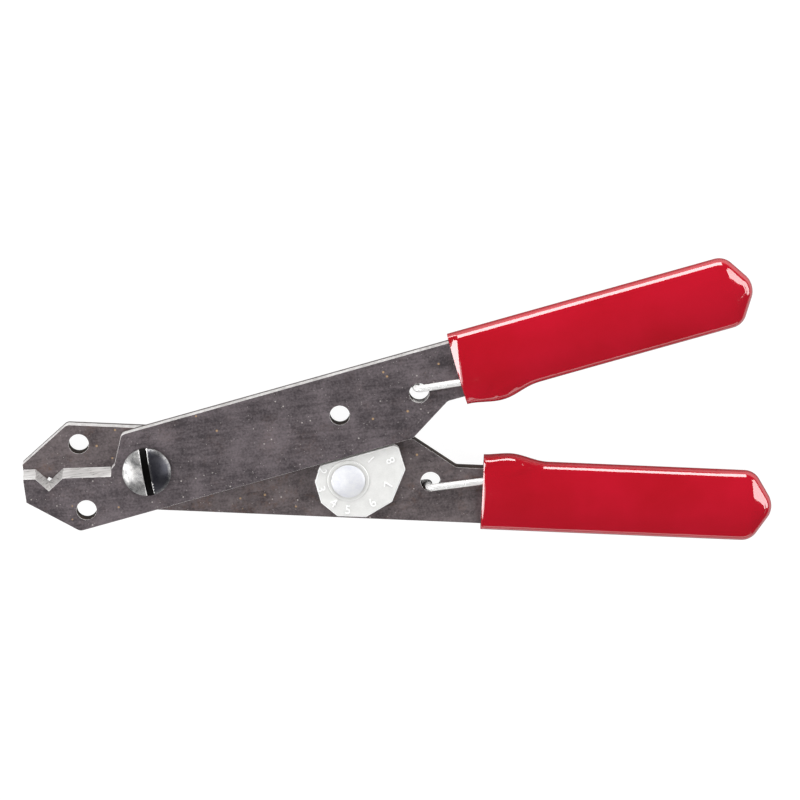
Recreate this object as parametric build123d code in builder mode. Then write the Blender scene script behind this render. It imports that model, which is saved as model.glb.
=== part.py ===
from build123d import *
import math
import os

os.makedirs("parts", exist_ok=True)

# Wire stripper of two crossed steel levers, drawn closed. The pivot axis is Z, +X runs from the
# pivot midway between the handles, and Z is 0 on the surface that the tool lies on. Millimetres.
# side is 1 for the front lever, whose handle is the upper one, and -1 for the back lever. Both
# levers are one stamping, turned over about its own length. On a lever u runs from the pivot
# towards the handle, v towards the outer side of the tool, and w away from the other lever.

# Lever stamping
half_angle = 9.35
plate_thickness = 2.3
plate_gap = 0.05
bar_outer = 7.3
bar_inner = 6.88
bar_end = 44.5
slope_end = 51.9
tang_width = 9.6
tang_corner = 100.8
tang_tip = 104.4
corner_radius = 1.2
tip_radius = 1.0

# Jaw of the lever, on the face away from the other lever
jaw_tip = (-20.4, 4.45)
jaw_tip_low = (-21.05, 0.41)
jaw_chin = -13.8
notch_far = (-18.4, 3.94)
notch_bottom = (-16.8, 1.31)
notch_near = (-13.9, 2.82)
blade_heel = (-6.1, 0.84)
blade_slope = -14.2
blade_bevel = 1.1
blade_root = 3.0
relief_far = (-5.6, 2.07)
relief_near = (-4.96, 2.49)
shoulder_top = -2.28

# Holes in the lever
jaw_hole_place = (-11.7, -3.62)
jaw_hole_diameter = 3.4
dial_hole_distance = 33.85
spring_hole_distance = 47.7
lever_hole_diameter = 3.35
lever_hole_offset = 0.15

# Pivot
shoulder_diameter = 4.8
running_clearance = 0.03
head_diameter = 8.2
head_height = 1.8
head_rim = 0.8
head_clearance = 0.05
slot_width = 1.2
slot_depth = 0.9
slot_direction = 92.5
thread_diameter = 4.0
thread_clearance = 0.02
thread_end = 0.15
nut_flats = 8.0
nut_height = 1.8
nut_chamfer = 0.5
washer_diameter = 9.0
washer_height = 0.4
washer_clearance = 0.1
washer_edge = 0.08
edge_break = 0.25

# Gauge dial: distance of each flat from the rivet axis, and its turn from the first flat, which
# faces the front lever. The first distance follows from the gap to that lever.
dial_gap = 0.6
dial_flats = (
    (5.26, 56.3),
    (5.49, 89.2),
    (6.0, 123.2),
    (6.36, 161.8),
    (7.08, 195.6),
    (8.23, 232.1),
    (9.71, 270.4),
)
dial_thickness = 1.1
dial_lead_radius = 1.0
dial_edge = 0.15
dial_float = 0.05
collar_diameter = 7.0
collar_height = 0.25
collar_round = 0.1
spring_washer_diameter = 7.0
spring_washer_height = 0.25
rivet_diameter = 3.25
rivet_clearance = 0.05
rivet_head_diameter = 5.7
rivet_head_height = 0.75
rivet_head_rim = 0.25
rivet_tail_diameter = 5.2
rivet_tail_height = 0.9
rear_washer_diameter = 6.4
rear_washer_height = 0.45

# Return spring: one wire, bent about the pivot nut, with a leg behind each lever. It leans on the
# outer side of its hole in each lever, and hooks over the inner edge of the tang in the grip.
wire_diameter = 1.2
wire_clearance = 0.05
coil_clearance = 0.18
bow_offset = 4.2
rise_start = 10.0
rise_end = 16.0
wire_lean_along = 0.25
wire_lean_across = 0.95
hook_turn = 60.2
hook_along = 0.6
upper_hook_across = 2.7
lower_hook_across = 2.0
hook_drop = 2.4
rise_bend = 3.0
bow_share = 0.22
wire_bend = 0.95

# Grips
grip_wall = 1.23
grip_thickness = 5.4
grip_edge_radius = 2.1
upper_grip_start = 54.9
lower_grip_start = 56.5
upper_grip_end = 106.6
lower_grip_end = 106.0
grip_end_slope = 3.8
grip_corner_radius = 3.0
grip_tip_radius = 3.4
grip_clearance = 0.05
pocket_lead = 3.0
mouth_round = 0.5
bulge_height = 1.2
bulge_length = 6.6

# Worked out from the sizes above
tang_inner = bar_outer - tang_width
tang_middle = (bar_outer + tang_inner) / 2
hole_line = (bar_outer - bar_inner) / 2 + lever_hole_offset
back_bottom = nut_height + washer_height
back_top = back_bottom + plate_thickness
front_bottom = back_top + plate_gap
front_top = front_bottom + plate_thickness
lever_bottom = {1: front_bottom, -1: back_bottom}
mating_height = {1: front_bottom, -1: back_top}
wire_radius = wire_diameter / 2
coil_radius = nut_flats / math.sqrt(3) + coil_clearance + wire_radius
wire_hole_place = (spring_hole_distance - wire_lean_along, hole_line + wire_lean_across)
hook_place = (hook_turn + hook_along, tang_inner - wire_clearance - wire_radius)
hook_across = {1: upper_hook_across, -1: lower_hook_across}
grip_start = {1: upper_grip_start, -1: lower_grip_start}
grip_end = {1: upper_grip_end, -1: lower_grip_end}
dial_bottom = back_top + spring_washer_height + dial_float
collar_top = dial_bottom + dial_thickness + collar_height


def lever_plane(side, w=0.0):
    """Plane parallel to a lever, w from its mating face, with local x along the lever."""
    angle = math.radians(side * half_angle)
    origin = (0, 0, mating_height[side] + side * w)
    return Plane(origin=origin, x_dir=(math.cos(angle), math.sin(angle), 0), z_dir=(0, 0, side))


def on_lever(side, u, v, z=0.0):
    """Place in the tool of a point given along and across a lever, at height z."""
    angle = math.radians(side * half_angle)
    x = u * math.cos(angle) - side * v * math.sin(angle)
    y = u * math.sin(angle) + side * v * math.cos(angle)
    return Vector(x, y, z)


rivet_place = on_lever(-1, dial_hole_distance, hole_line)


def lever_outline():
    """Corners of a lever on the face away from the other lever."""
    return [
        (tang_corner, bar_outer),
        (shoulder_top, bar_outer),
        relief_near,
        relief_far,
        blade_heel,
        notch_near,
        notch_bottom,
        notch_far,
        jaw_tip,
        jaw_tip_low,
        (jaw_chin, -bar_inner),
        (bar_end, -bar_inner),
        (slope_end, tang_inner),
        (tang_corner, tang_inner),
        (tang_tip, tang_middle),
    ]


def make_lever(side):
    normal = math.radians(90 + blade_slope)
    lean = Vector(-blade_bevel * math.cos(normal), -blade_bevel * math.sin(normal), plate_thickness)
    blade = [blade_heel, notch_near, notch_bottom, notch_far, jaw_tip]
    root = [(jaw_tip[0] + 1, jaw_tip[1] - blade_root), (blade_heel[0] - 1, blade_heel[1] - blade_root)]
    with BuildPart() as lever:
        with BuildSketch(lever_plane(side)):
            with BuildLine():
                Polyline(*lever_outline(), close=True)
            make_face()
        extrude(amount=plate_thickness)
        upright = lever.edges().filter_by(Axis.Z)
        softened = ((bar_end, -bar_inner), (slope_end, tang_inner), (jaw_chin, -bar_inner))
        fillet([edge_at(upright, side, place) for place in softened], corner_radius)
        upright = lever.edges().filter_by(Axis.Z)
        fillet(edge_at(upright, side, (shoulder_top, bar_outer)), tip_radius)
        with BuildSketch(lever_plane(side)):
            with BuildLine():
                Polyline(*[(u - lean.X, v - lean.Y) for u, v in blade], *root, close=True)
            make_face()
        plane = lever_plane(side)
        slant = plane.x_dir * lean.X + plane.y_dir * lean.Y + plane.z_dir * lean.Z
        extrude(amount=lean.length, dir=slant)
        with Locations(lever_plane(side, plate_thickness)):
            Hole(shoulder_diameter / 2 + running_clearance)
            with Locations((dial_hole_distance, hole_line), (spring_hole_distance, hole_line)):
                Hole(lever_hole_diameter / 2)
            with Locations(jaw_hole_place):
                Hole(jaw_hole_diameter / 2)
    return lever


def edge_at(edges, side, place):
    """The edge that stands nearest to a point of the lever."""
    spot = on_lever(side, *place)
    return edges.sort_by(lambda edge: math.hypot(edge.center().X - spot.X, edge.center().Y - spot.Y))[0]


def spring_radii(side):
    """Bend radius at each inner corner of the spring's leg."""
    leg = spring_leg(side)
    before, bow, hole = leg[-7:-4]
    turn = math.radians((bow - before).get_angle(hole - bow))
    bow_bend = bow_share * (hole - bow).length / math.tan(turn / 2)
    bends = [rise_bend, rise_bend] if side > 0 else []
    return bends + [bow_bend] + 4 * [wire_bend]


def spring_leg(side):
    """Corners of the spring's leg, from its bend about the nut to its end in the grip."""
    low = back_bottom - wire_clearance - wire_radius
    under = lever_bottom[side] - wire_clearance - wire_radius
    top = lever_bottom[side] + plate_thickness + wire_clearance + wire_radius
    bow = on_lever(side, dial_hole_distance, hole_line) + Vector(0, side * bow_offset, 0)
    lean = math.atan2(abs(bow.Y), bow.X) - math.asin(coil_radius / bow.length)
    start = Vector(-coil_radius * math.sin(lean), side * coil_radius * math.cos(lean), low)
    along = Vector(math.cos(lean), side * math.sin(lean), 0)
    corners = [start]
    if under > low:
        corners += [start + along * rise_start, start + along * rise_end + Vector(0, 0, under - low)]
    corners += [
        Vector(bow.X, bow.Y, under),
        on_lever(side, *wire_hole_place, under),
        on_lever(side, *wire_hole_place, top),
        on_lever(side, hook_turn, wire_line(side, hook_turn), top),
        on_lever(side, *hook_place, top),
        on_lever(side, *hook_place, top - hook_drop),
    ]
    return corners


def wire_line(side, u):
    """Where the wire's outer end lies across the lever, at a distance along it."""
    turn = hook_place[1] + hook_across[side]
    share = (u - wire_hole_place[0]) / (hook_turn - wire_hole_place[0])
    return wire_hole_place[1] + share * (turn - wire_hole_place[1])


def make_return_spring():
    front_leg = spring_leg(1)
    back_leg = spring_leg(-1)
    with BuildPart() as spring:
        with BuildLine() as path:
            FilletPolyline(*front_leg, radius=spring_radii(1))
            FilletPolyline(*back_leg, radius=spring_radii(-1))
            ThreePointArc(front_leg[0], (-coil_radius, 0, front_leg[0].Z), back_leg[0])
        with BuildSketch(Plane(origin=front_leg[-1], z_dir=(0, 0, 1))):
            Circle(wire_radius)
        sweep(path=path.wire())
    return spring


def make_grip(side):
    bottom = lever_bottom[side]
    middle = Plane.XY.offset(bottom + plate_thickness / 2)
    start = grip_start[side]
    inner = tang_inner - grip_wall
    outer = bar_outer + grip_wall
    peak = (hook_place[0], inner - bulge_height)
    corner = grip_end[side] - grip_end_slope
    ends = [(corner, outer), (grip_end[side], tang_middle), (corner, inner)]
    with BuildPart() as grip:
        with BuildSketch(middle):
            with BuildLine():
                Polyline(*[on_lever(side, *place) for place in [(start, inner), (start, outer), *ends]])
                bulge_end = on_lever(side, peak[0] + bulge_length, inner)
                Line(on_lever(side, *ends[-1]), bulge_end)
                along = on_lever(side, -1, 0)
                Spline(bulge_end, on_lever(side, *peak), on_lever(side, start, inner), tangents=(along, along))
            make_face()
        extrude(amount=grip_thickness / 2, both=True)
        upright = grip.edges().filter_by(Axis.Z)
        fillet([edge_at(upright, side, ends[0]), edge_at(upright, side, ends[2])], grip_corner_radius)
        fillet(edge_at(grip.edges().filter_by(Axis.Z), side, ends[1]), grip_tip_radius)
        mouth = mouth_face(grip, side)
        rims = grip.faces().filter_by(Axis.Z).edges()
        fillet(rims.filter_by(lambda edge: edge not in mouth.edges()), grip_edge_radius)
        fillet(mouth_face(grip, side).edges(), mouth_round)
        with BuildSketch(Plane.XY.offset(bottom - grip_clearance)):
            with BuildLine():
                Polyline(*[on_lever(side, *place) for place in pocket_outline(start)], close=True)
            make_face()
        extrude(amount=plate_thickness + 2 * grip_clearance, mode=Mode.SUBTRACT)
        leg = spring_leg(side)
        mouth_point = on_lever(side, start - pocket_lead, wire_line(side, start - pocket_lead), leg[-2].Z)
        end_point = leg[-1] - Vector(0, 0, 2 * wire_clearance)
        with BuildLine() as channel:
            FilletPolyline(mouth_point, leg[-3], leg[-2], end_point, radius=wire_bend)
        with BuildSketch(Plane(origin=end_point, z_dir=(0, 0, 1))):
            Circle(wire_radius + wire_clearance)
        sweep(path=channel.wire(), mode=Mode.SUBTRACT)
    return grip


def mouth_face(grip, side):
    """The open end of a grip, which faces the pivot."""
    spot = on_lever(side, grip_start[side], tang_middle, lever_bottom[side] + plate_thickness / 2)
    return grip.faces().sort_by(lambda face: (face.center() - spot).length)[0]


def pocket_outline(start):
    """Corners of the pocket that the tang fills, from before the mouth to the tip and back."""
    return [
        (start - pocket_lead, bar_outer + grip_clearance),
        (tang_corner + grip_clearance, bar_outer + grip_clearance),
        (tang_tip + grip_clearance, tang_middle),
        (tang_corner + grip_clearance, tang_inner - grip_clearance),
        (start - pocket_lead, tang_inner - grip_clearance),
    ]


def make_pivot_screw():
    under_head = front_top + head_clearance
    top = under_head + head_height
    thread_radius = thread_diameter / 2
    with BuildPart() as screw:
        with BuildSketch(Plane.XZ):
            with BuildLine():
                Polyline(
                    (0, top),
                    (0, thread_end),
                    (thread_radius - edge_break, thread_end),
                    (thread_radius, thread_end + edge_break),
                    (thread_radius, back_bottom),
                    (shoulder_diameter / 2, back_bottom),
                    (shoulder_diameter / 2, under_head),
                    (head_diameter / 2, under_head),
                    (head_diameter / 2, under_head + head_rim),
                )
                TangentArc((0, top), (head_diameter / 2, under_head + head_rim), tangent=(1, 0))
            make_face()
        revolve(axis=Axis.Z)
        with BuildSketch(Plane.XY.offset(top - slot_depth)):
            Rectangle(2 * head_diameter, slot_width, rotation=slot_direction)
        extrude(amount=slot_depth, mode=Mode.SUBTRACT)
    return screw


def make_pivot_nut():
    corner = nut_flats / math.sqrt(3)
    with BuildPart() as nut:
        with BuildSketch():
            RegularPolygon(nut_flats / 2, 6, major_radius=False)
        extrude(amount=nut_height)
        with BuildSketch(Plane.XZ):
            with BuildLine():
                Polyline(
                    (0, 0),
                    (nut_flats / 2 - edge_break, 0),
                    (corner, nut_chamfer),
                    (corner, nut_height),
                    (0, nut_height),
                    close=True,
                )
            make_face()
        revolve(axis=Axis.Z, mode=Mode.INTERSECT)
        with Locations((0, 0, nut_height)):
            Hole(thread_diameter / 2 + thread_clearance)
    return nut


def make_washer(plane, outer_diameter, bore_diameter, height):
    with BuildPart() as washer:
        with BuildSketch(plane):
            Circle(outer_diameter / 2)
            Circle(bore_diameter / 2, mode=Mode.SUBTRACT)
        extrude(amount=height)
        rims = washer.edges().filter_by(GeomType.CIRCLE).group_by(SortBy.RADIUS)[-1]
        chamfer(rims, washer_edge)
    return washer


def dial_corners():
    """Corners of the dial about its centre, where each flat meets the next one."""
    lever_edge = rivet_place.Y * math.cos(math.radians(half_angle)) - rivet_place.X * math.sin(
        math.radians(half_angle)
    )
    first = -bar_inner - lever_edge - dial_gap
    flats = [(first, 0.0), *dial_flats]
    corners = []
    for (near, start), (far, turn) in zip(flats, flats[1:] + flats[:1]):
        a = math.radians(start)
        b = math.radians(turn)
        x = (near * math.sin(b) - far * math.sin(a)) / math.sin(b - a)
        y = (far * math.cos(a) - near * math.cos(b)) / math.sin(b - a)
        corners.append((x, y))
    return corners


def make_dial():
    facing = math.radians(90 + half_angle)
    place = Plane(
        origin=(rivet_place.X, rivet_place.Y, dial_bottom),
        x_dir=(math.cos(facing), math.sin(facing), 0),
        z_dir=(0, 0, 1),
    )
    with BuildPart() as dial:
        with BuildSketch(place) as face:
            with BuildLine():
                Polyline(*dial_corners(), close=True)
            make_face()
            lead = face.vertices().sort_by_distance(Vector(0, 0))[-1]
            fillet(lead, dial_lead_radius)
        extrude(amount=dial_thickness)
        chamfer(dial.faces().sort_by(Axis.Z)[-1].edges(), dial_edge)
        with BuildSketch(place.offset(dial_thickness)):
            Circle(collar_diameter / 2)
        extrude(amount=collar_height)
        fillet(dial.faces().sort_by(Axis.Z)[-1].edges(), collar_round)
        with Locations(place.offset(dial_thickness + collar_height)):
            Hole(rivet_diameter / 2 + running_clearance)
    return dial


def make_dial_rivet():
    tail_top = back_bottom - rear_washer_height
    head_bottom = collar_top + dial_float
    shank = rivet_diameter / 2
    side_view = Plane(origin=(rivet_place.X, rivet_place.Y, 0), x_dir=(1, 0, 0), z_dir=(0, -1, 0))
    with BuildPart() as rivet:
        with BuildSketch(side_view):
            with BuildLine():
                head_rim = (rivet_head_diameter / 2, head_bottom + rivet_head_rim)
                tail_rim = (rivet_tail_diameter / 2, tail_top - rivet_head_rim)
                head_top = (0, head_bottom + rivet_head_height)
                tail_bottom = (0, tail_top - rivet_tail_height)
                Polyline(
                    head_rim,
                    (rivet_head_diameter / 2, head_bottom),
                    (shank, head_bottom),
                    (shank, tail_top),
                    (rivet_tail_diameter / 2, tail_top),
                    tail_rim,
                )
                TangentArc(tail_bottom, tail_rim, tangent=(1, 0))
                Line(tail_bottom, head_top)
                TangentArc(head_top, head_rim, tangent=(1, 0))
            make_face()
        revolve(axis=Axis((rivet_place.X, rivet_place.Y, 0), (0, 0, 1)))
    return rivet


def save(piece, name):
    piece.part.label = name
    export_step(piece.part, f"parts/{name}.step")


rivet_bore = rivet_diameter + 2 * rivet_clearance
rivet_plane = Plane.XY.move(Location((rivet_place.X, rivet_place.Y, 0)))

save(make_lever(1), "front_lever")
save(make_lever(-1), "back_lever")
save(make_grip(1), "upper_grip")
save(make_grip(-1), "lower_grip")
save(make_pivot_screw(), "pivot_screw")
save(make_pivot_nut(), "pivot_nut")
save(
    make_washer(
        Plane.XY.offset(nut_height), washer_diameter, thread_diameter + 2 * washer_clearance, washer_height
    ),
    "pivot_washer",
)
save(make_dial(), "dial")
save(make_dial_rivet(), "dial_rivet")
save(
    make_washer(rivet_plane.offset(back_top), spring_washer_diameter, rivet_bore, spring_washer_height),
    "dial_washer",
)
save(
    make_washer(
        rivet_plane.offset(back_bottom - rear_washer_height), rear_washer_diameter, rivet_bore, rear_washer_height
    ),
    "rivet_washer",
)
save(make_return_spring(), "return_spring")
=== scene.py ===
import bpy
import bmesh
import math
import numpy as np
from mathutils import Matrix, Vector


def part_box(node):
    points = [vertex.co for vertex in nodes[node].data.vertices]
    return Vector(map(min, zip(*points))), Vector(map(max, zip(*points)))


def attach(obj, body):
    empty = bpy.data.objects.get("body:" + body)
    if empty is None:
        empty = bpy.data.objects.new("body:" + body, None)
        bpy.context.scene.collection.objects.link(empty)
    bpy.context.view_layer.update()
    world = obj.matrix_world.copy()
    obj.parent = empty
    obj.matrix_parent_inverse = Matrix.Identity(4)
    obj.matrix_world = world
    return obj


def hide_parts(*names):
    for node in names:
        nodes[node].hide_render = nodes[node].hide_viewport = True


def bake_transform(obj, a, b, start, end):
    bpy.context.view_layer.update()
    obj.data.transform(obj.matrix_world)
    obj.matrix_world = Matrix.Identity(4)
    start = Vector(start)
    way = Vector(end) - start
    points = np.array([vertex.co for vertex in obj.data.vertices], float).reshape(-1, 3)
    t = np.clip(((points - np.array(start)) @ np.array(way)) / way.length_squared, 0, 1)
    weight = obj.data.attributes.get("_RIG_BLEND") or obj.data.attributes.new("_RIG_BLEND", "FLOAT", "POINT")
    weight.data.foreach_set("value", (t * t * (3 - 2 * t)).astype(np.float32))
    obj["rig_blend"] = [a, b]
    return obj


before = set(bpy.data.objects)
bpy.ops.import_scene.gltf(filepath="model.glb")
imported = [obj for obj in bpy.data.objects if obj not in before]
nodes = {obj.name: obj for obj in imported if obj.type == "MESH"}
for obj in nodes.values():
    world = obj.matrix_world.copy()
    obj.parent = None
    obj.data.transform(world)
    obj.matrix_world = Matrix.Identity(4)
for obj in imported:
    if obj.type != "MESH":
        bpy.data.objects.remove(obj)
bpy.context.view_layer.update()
mm = 0.001

# The levers stand at this angle to X, one up and one down. side is 1 for the front lever, whose
# handle is the upper one, and -1 for the back lever. u runs along a lever, v towards its outer side.
tool = {"halfAngle": math.radians(9.35), "plate": 2.3 * mm, "barOuter": 7.3 * mm, "tangInner": -2.3 * mm}
bothSides = (1, -1)
sideName = {1: "Front", -1: "Back"}
bodies = {1: "front_half", -1: "back_half"}
leverNode = {1: "front_lever", -1: "back_lever"}
gripNode = {1: "upper_grip", -1: "lower_grip"}
leverBottom = {side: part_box(leverNode[side])[0].z for side in bothSides}
leverTop = {side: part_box(leverNode[side])[1].z for side in bothSides}


def onLever(side, u, v, z=0.0):
    angle = side * tool["halfAngle"]
    x = u * math.cos(angle) - side * v * math.sin(angle)
    y = u * math.sin(angle) + side * v * math.cos(angle)
    return Vector((x, y, z))


# Camera: almost straight above, leaning towards the picture's top. The picture is turned a little
# about Z against the tool, and the pivot's place on the front lever fixes the rest.
camera = {
    "turn": math.radians(-6.84),
    "lean": math.radians(15.5),
    "pixelsPerMetre": 5980,
    "pivotPixel": (145.9, 471.8),
    "picture": 800,
    "distance": 0.9,
    "sensor": 36.0,
    "clip": (0.01, 20),
}


def makeCamera(s):
    right = Vector((math.cos(s["turn"]), math.sin(s["turn"]), 0))
    up = Vector((-math.sin(s["turn"]), math.cos(s["turn"]), 0))
    back = up * math.sin(s["lean"]) + Vector((0, 0, math.cos(s["lean"])))
    scale = s["pixelsPerMetre"]
    middle = s["picture"] / 2
    target = Vector((0, 0, leverTop[1]))
    target += right * ((middle - s["pivotPixel"][0]) / scale)
    target += up * ((s["pivotPixel"][1] - middle) / (scale * math.cos(s["lean"])))
    data = bpy.data.cameras.new("camera")
    data.sensor_width = s["sensor"]
    data.lens = s["sensor"] * s["distance"] * scale / s["picture"]
    data.clip_start, data.clip_end = s["clip"]
    obj = bpy.data.objects.new("camera", data)
    bpy.context.scene.collection.objects.link(obj)
    turned = Matrix((right, back.cross(right), back)).transposed()
    obj.matrix_world = Matrix.Translation(target + back * s["distance"]) @ turned.to_4x4()
    bpy.context.scene.camera = obj
    return right, up, target


right, up, target = makeCamera(camera)
print("camera is set")


# Node helpers
def addNode(tree, kind, inputs=None, **options):
    node = tree.nodes.new(kind)
    for name, value in options.items():
        setattr(node, name, value)
    for name, value in (inputs or {}).items():
        if isinstance(value, bpy.types.NodeSocket):
            tree.links.new(value, node.inputs[name])
        else:
            node.inputs[name].default_value = value
    return node


def newMaterial(name):
    material = bpy.data.materials.new(name)
    material.use_nodes = True
    tree = material.node_tree
    place = addNode(tree, "ShaderNodeTexCoord").outputs["Object"]
    inMillimetres = addNode(tree, "ShaderNodeVectorMath", {0: place, "Scale": 1 / mm}, operation="SCALE")
    return material, tree, tree.nodes["Principled BSDF"], inMillimetres.outputs["Vector"]


def stretched(tree, place, turn, scale):
    inputs = {"Vector": place, "Rotation": (0, 0, turn), "Scale": scale}
    return addNode(tree, "ShaderNodeMapping", inputs).outputs["Vector"]


noiseMiddle = 0.5  # the value that noise varies about


def noise(tree, place, scale, detail, roughness, distortion=0.0):
    inputs = {
        "Vector": place,
        "Scale": scale,
        "Detail": detail,
        "Roughness": roughness,
        "Distortion": distortion,
    }
    return addNode(tree, "ShaderNodeTexNoise", inputs).outputs["Fac"]


# Turns the range from low to high into values from start to end
def ramp(tree, value, low, high, start=0.0, end=1.0):
    inputs = {"Value": value, "From Min": low, "From Max": high, "To Min": start, "To Max": end}
    return addNode(tree, "ShaderNodeMapRange", inputs, clamp=True).outputs["Result"]


# 6 and 7 are the colour sockets of a mix node
def mix(tree, share, first, second):
    node = addNode(tree, "ShaderNodeMix", data_type="RGBA")
    for index, value in ((0, share), (6, first), (7, second)):
        if isinstance(value, bpy.types.NodeSocket):
            tree.links.new(value, node.inputs[index])
        else:
            node.inputs[index].default_value = value if index == 0 else (*value, 1.0)
    return node.outputs[2]


def calculate(tree, operation, first, second=0.0):
    return addNode(tree, "ShaderNodeMath", {0: first, 1: second}, operation=operation).outputs[0]


# The sum of some textures, each taken at its share
def weighted(tree, textures, shares):
    parts = [calculate(tree, "MULTIPLY", texture, share) for texture, share in zip(textures, shares)]
    total = parts[0]
    for part in parts[1:]:
        total = calculate(tree, "ADD", total, part)
    return total


# Spots of another colour, one in each of a share of the texture's cells
def speckled(tree, place, colour, s):
    inputs = {"Vector": place, "Scale": s["scale"], "Randomness": 1.0}
    cells = addNode(tree, "ShaderNodeTexVoronoi", inputs)
    near = ramp(tree, cells.outputs["Distance"], s["size"], s["size"] / 2)
    pick = addNode(tree, "ShaderNodeSeparateColor", {"Color": cells.outputs["Color"]})
    chosen = calculate(tree, "LESS_THAN", pick.outputs["Red"], s["cells"])
    spots = calculate(tree, "MULTIPLY", near, chosen)
    return mix(tree, calculate(tree, "MULTIPLY", spots, s["strength"]), colour, s["colour"])


# Each bump is laid over the one before, which comes as its base
def bump(tree, shader, height, strength, distance, base=None):
    inputs = {"Height": height, "Strength": strength, "Distance": distance}
    if base is not None:
        inputs["Normal"] = base
    normal = addNode(tree, "ShaderNodeBump", inputs).outputs["Normal"]
    tree.links.new(normal, shader.inputs["Normal"])
    return normal


def feed(tree, shader, **values):
    names = {"colour": "Base Color", "roughness": "Roughness", "metallic": "Metallic"}
    for key, value in values.items():
        socket = shader.inputs[names[key]]
        if isinstance(value, bpy.types.NodeSocket):
            tree.links.new(value, socket)
        elif key == "colour":
            socket.default_value = (*value, 1.0)
        else:
            socket.default_value = value


# Materials. A texture is given by its scale per millimetre, its detail, its roughness and, where it has
# one, its distortion. A range is the part of a texture that counts, and two more numbers are the values
# at its ends. A bump is its strength and its height.

# Darkened steel of the levers: mottled, speckled, with rolling marks along the plate
leverFace = {
    # the back lever's colours are a little lighter than the front's: painted light that makes up for the
    # shade it lies in
    "dark": {1: (0.060, 0.050, 0.055), -1: (0.068, 0.055, 0.058)},
    "light": {1: (0.188, 0.158, 0.170), -1: (0.197, 0.164, 0.168)},
    "metallic": 0.5,
    "clouds": (0.22, 5, 0.6),
    "grain": (2.6, 4, 0.65),
    "rolled": (1.0, 4, 0.6),
    "rolledStretch": (0.12, 1.6, 1.0),
    "toneShares": (0.45, 0.35, 0.2),
    "toneRange": (0.40, 0.60),
    "gloss": (0.35, 0.65, 0.40, 0.58),
    "grainBump": (0.35, 0.03 * mm),
    "rolledBump": (0.3, 0.02 * mm),
    "rust": (0.17, 0.085, 0.050),
    "rustShare": {1: 0.22, -1: 0.75},
    "rustPatches": (0.16, 6, 0.7, 0.6),
    "rustPatchRange": (0.52, 0.72),
    "rustGrain": (1.9, 5, 0.7),
    "rustGrainRange": (0.42, 0.62),
    "specks": (
        {"scale": 2.1, "size": 0.17, "cells": 0.20, "strength": 0.5, "colour": (0.80, 0.74, 0.70)},
        {"scale": 0.75, "size": 0.12, "cells": 0.30, "strength": 0.6, "colour": (0.80, 0.74, 0.70)},
        {"scale": 0.34, "size": 0.085, "cells": 0.55, "strength": 0.8, "colour": (0.62, 0.40, 0.20)},
    ),
}


def makeLeverFace(side, s):
    material, tree, shader, place = newMaterial(f"leverFace{sideName[side]}")
    clouds = noise(tree, place, *s["clouds"])
    grain = noise(tree, place, *s["grain"])
    along = stretched(tree, place, -side * tool["halfAngle"], s["rolledStretch"])
    rolled = noise(tree, along, *s["rolled"])
    tone = weighted(tree, (clouds, grain, rolled), s["toneShares"])
    colour = mix(tree, ramp(tree, tone, *s["toneRange"]), s["dark"][side], s["light"][side])
    patches = ramp(tree, noise(tree, place, *s["rustPatches"]), *s["rustPatchRange"])
    grains = ramp(tree, noise(tree, place, *s["rustGrain"]), *s["rustGrainRange"])
    rusty = calculate(tree, "MULTIPLY", patches, grains)
    colour = mix(tree, calculate(tree, "MULTIPLY", rusty, s["rustShare"][side]), colour, s["rust"])
    for speck in s["specks"]:
        colour = speckled(tree, place, colour, speck)
    feed(tree, shader, colour=colour, metallic=s["metallic"], roughness=ramp(tree, tone, *s["gloss"]))
    first = bump(tree, shader, grain, *s["grainBump"])
    bump(tree, shader, rolled, *s["rolledBump"], first)
    return material


# Sheared walls of the levers, bright outside, and painted dark in the holes and behind as a painted shade.
# Low down they are torn and dark, which fades between two heights in millimetres above the plate's lower
# face.
leverEdges = {
    "bright": {"dark": (0.58, 0.56, 0.55), "light": (0.86, 0.84, 0.83), "metallic": 0.30},
    # painted shade: a darker copy of the walls, for the holes and for the back lever's walls past a given X
    "paintedShade": {"dark": (0.012, 0.009, 0.008), "light": (0.080, 0.058, 0.046), "metallic": 0.15},
}
sheared = {
    "torn": (0.10, 0.085, 0.08),
    "tornFade": (0.55, 0.85),
    "streaks": (1.0, 4, 0.6),
    "streakStretch": (1.4, 1.4, 0.3),
    "patches": (0.35, 4, 0.6),
    "toneShares": (0.4, 0.6),
    "toneRange": (0.36, 0.60),
    "gloss": (0.3, 0.7, 0.3, 0.5),
    "bump": (0.25, 0.02 * mm),
}


def makeLeverEdge(side, name, s, wall):
    material, tree, shader, place = newMaterial(f"{name}Edge{sideName[side]}")
    streaks = noise(tree, stretched(tree, place, 0, wall["streakStretch"]), *wall["streaks"])
    patches = noise(tree, place, *wall["patches"])
    tone = weighted(tree, (streaks, patches), wall["toneShares"])
    colour = mix(tree, ramp(tree, tone, *wall["toneRange"]), s["dark"], s["light"])
    height = addNode(tree, "ShaderNodeSeparateXYZ", {"Vector": place}).outputs["Z"]
    low, high = (leverBottom[side] / mm + rise for rise in wall["tornFade"])
    torn = ramp(tree, height, low, high, 1, 0)
    feed(tree, shader, colour=mix(tree, torn, colour, wall["torn"]))
    feed(tree, shader, metallic=s["metallic"], roughness=ramp(tree, tone, *wall["gloss"]))
    bump(tree, shader, streaks, *wall["bump"])
    return material


# Ground bevel of the cutting edges
bladeSteel = {
    "dark": (0.40, 0.39, 0.38),
    "light": (0.64, 0.63, 0.62),
    "metallic": 0.5,
    "lines": (1.0, 3, 0.6),
    "lineTurn": math.radians(75),
    "lineStretch": (0.4, 9.0, 0.6),
    "toneRange": (0.3, 0.65),
    "gloss": (0.3, 0.7, 0.25, 0.42),
    "bump": (0.15, 0.01 * mm),
}


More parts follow.
